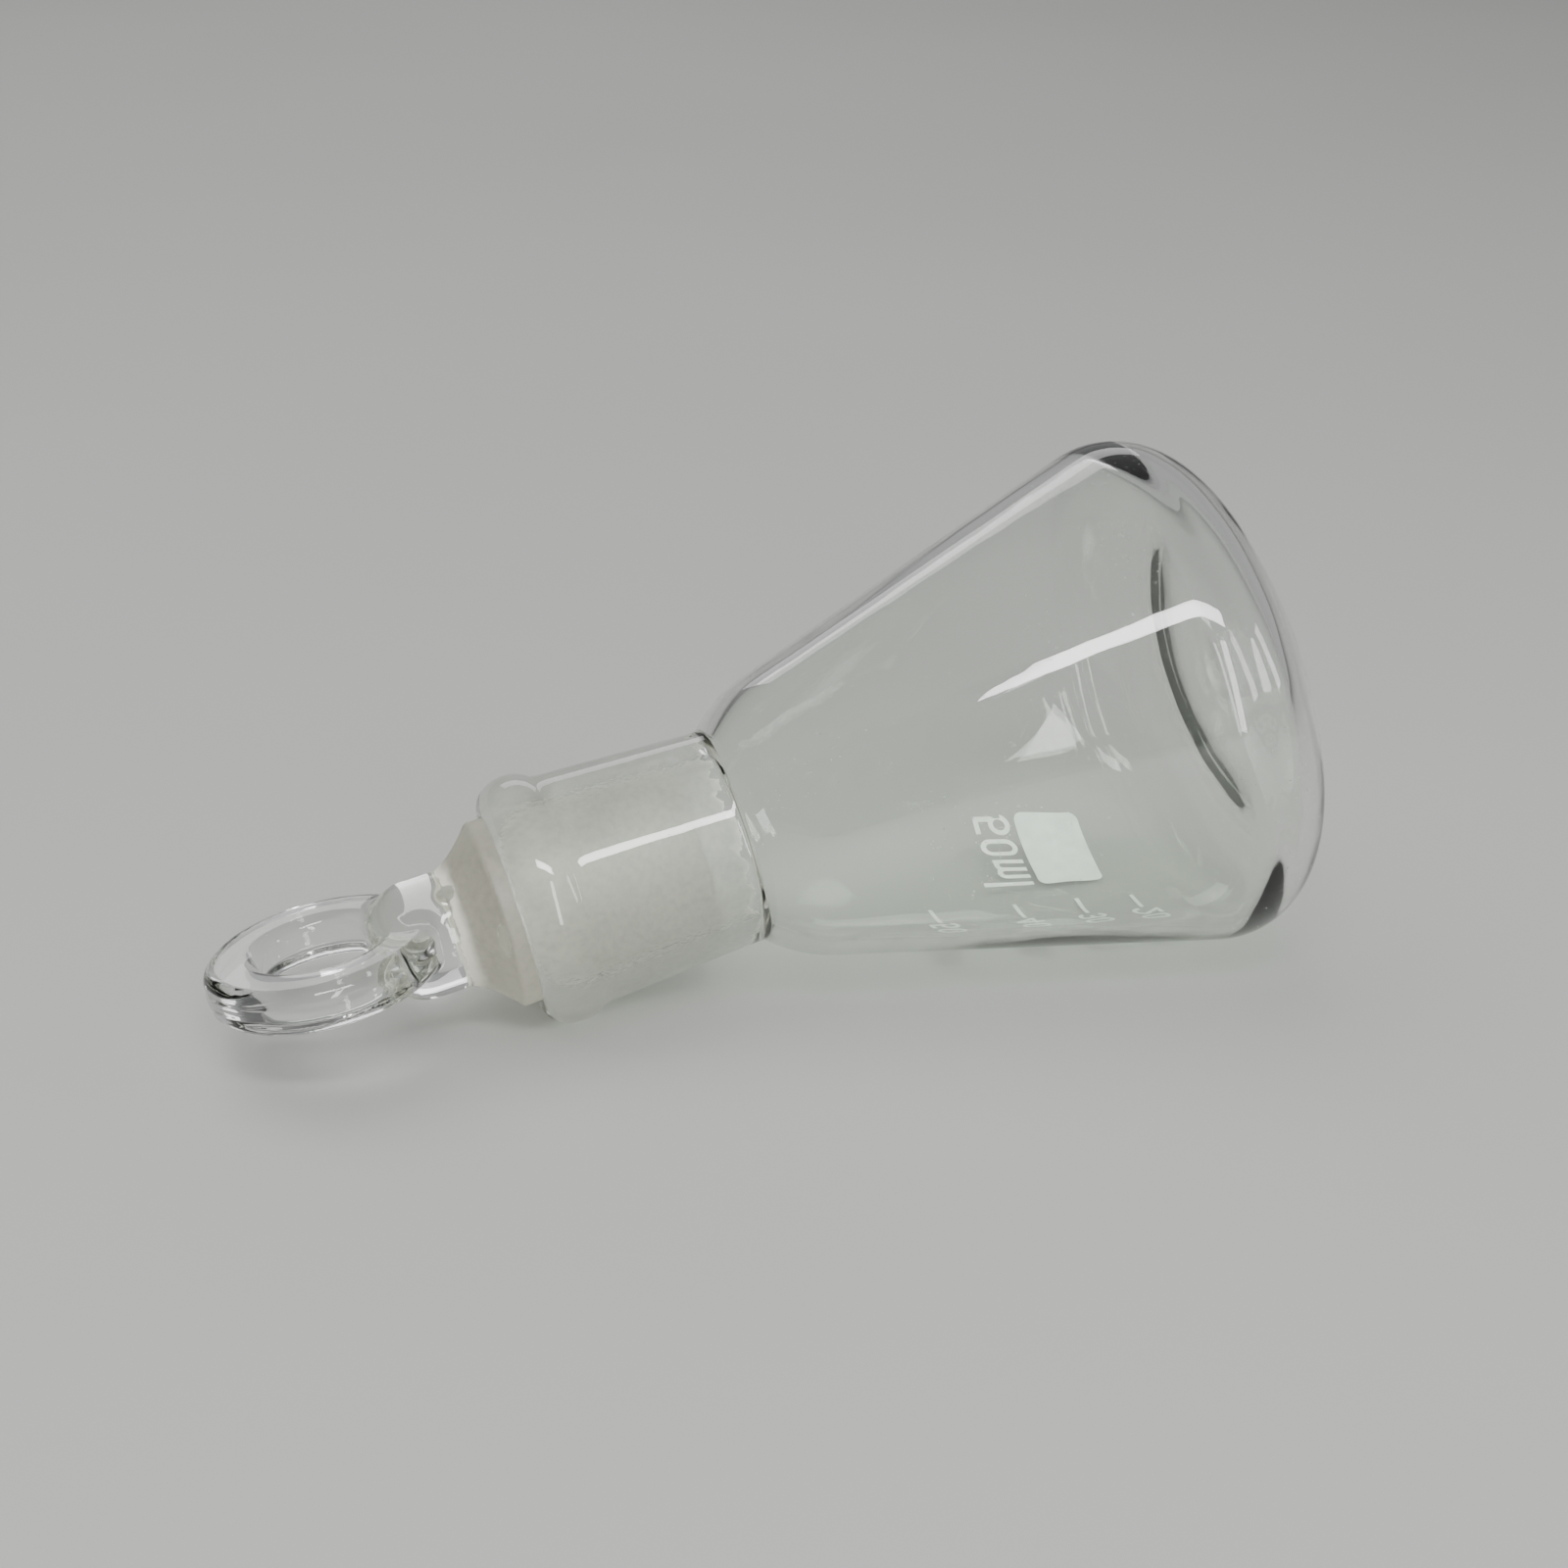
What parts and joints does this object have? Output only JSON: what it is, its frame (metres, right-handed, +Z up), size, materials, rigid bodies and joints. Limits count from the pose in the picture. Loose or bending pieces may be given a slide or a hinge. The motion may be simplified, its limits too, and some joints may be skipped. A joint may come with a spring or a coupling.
{
  "type": "erlenmeyer flask",
  "caption": "Small conical glass flask with a tapered ground neck, a beaded rim, fired white volume marks and a ground stopper with a ring handle that lifts straight out.",
  "frame": {"origin": "centre of the underside of the base, on the surface the flask stands on", "axes": "+Z up along the axis of the flask towards the stopper; the marks face -Y; the ring handle lies close to the XZ plane"},
  "size_m": [0.0522, 0.0522, 0.1074],
  "materials": {
    "clear_glass": "clear and glossy, faint green tint in thick sections",
    "ground_glass": "frosted by grinding, fine even grain",
    "enamel": "fired white enamel, slightly uneven"
  },
  "bodies": {
    "flask": {"flask_body": "clear_glass", "neck_socket": "ground_glass", "marking_spot": "enamel", "capacity_mark": "enamel", "graduation_20": "enamel", "graduation_30": "enamel", "graduation_40": "enamel", "graduation_50": "enamel"},
    "stopper": {"stopper_plug": "ground_glass", "stopper_shank": "clear_glass", "ring_handle": "clear_glass"}
  },
  "joints": [
    {"name": "stopper_lift", "type": "slide", "parent": "flask", "child": "stopper", "axis": [0, 0, 1], "range_m": [0, 0.06]}
  ]
}
